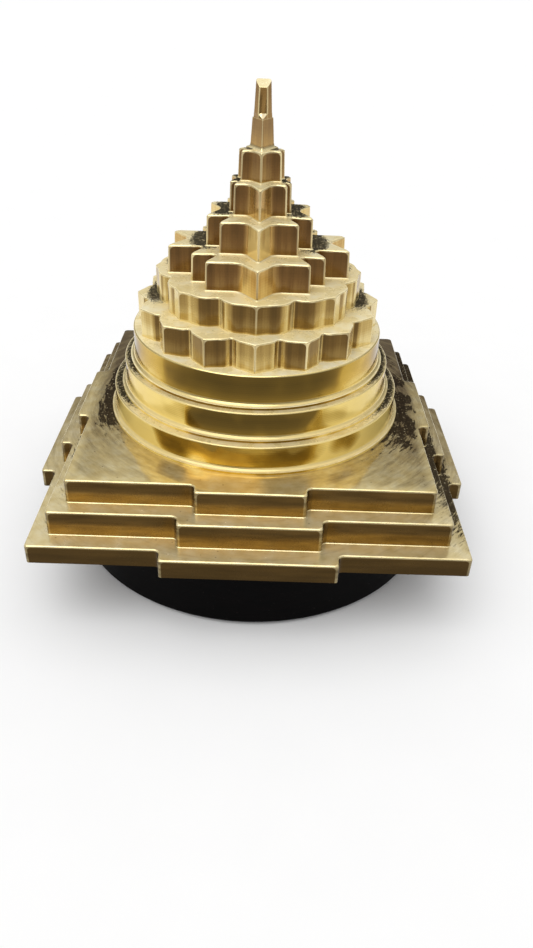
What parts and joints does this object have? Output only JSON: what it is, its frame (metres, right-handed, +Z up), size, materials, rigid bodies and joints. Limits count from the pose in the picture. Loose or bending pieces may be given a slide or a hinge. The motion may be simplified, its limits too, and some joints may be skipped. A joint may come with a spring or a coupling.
{
  "type": "meru shri yantra",
  "caption": "Brass meru shri yantra: square tiers with gates, turned round tiers, lotus tiers and interlocking star tiers rise to a bindu; it lifts off its round black stand.",
  "frame": {"origin": "centre of the stand's felt underside, on the table", "axes": "+Z up through the bindu, -Y towards the front gate and the viewer, +X to the viewer's right"},
  "size_m": [0.161, 0.161, 0.1687],
  "materials": {
    "cast_brass": "cast, milled and hand polished, with some tarnish",
    "turned_brass": "turned and polished to a mirror",
    "milled_brass": "milled and polished, with bright rounded edges",
    "steel": "plain",
    "black_lacquered_wood": "black satin lacquer",
    "felt": "pressed felt"
  },
  "bodies": {
    "stand": {"round_stand": "black_lacquered_wood", "stand_felt": "felt"},
    "yantra": {"lower_square_tier": "cast_brass", "middle_square_tier": "cast_brass", "upper_square_tier": "cast_brass", "lower_round_tier": "turned_brass", "middle_round_tier": "turned_brass", "upper_round_tier": "turned_brass", "sixteen_petal_tier": "milled_brass", "eight_petal_tier": "milled_brass", "fourteen_point_tier": "milled_brass", "outer_ten_point_tier": "milled_brass", "inner_ten_point_tier": "milled_brass", "eight_point_tier": "milled_brass", "triangle_tier": "milled_brass", "bindu": "milled_brass", "tie_rod": "steel", "tie_nut": "steel", "tie_washer": "steel", "locating_pins": "steel"}
  },
  "joints": [
    {"name": "lift_off", "type": "slide", "parent": "stand", "child": "yantra", "axis": [0, 0, 1], "range_m": [0, 0.06]}
  ]
}
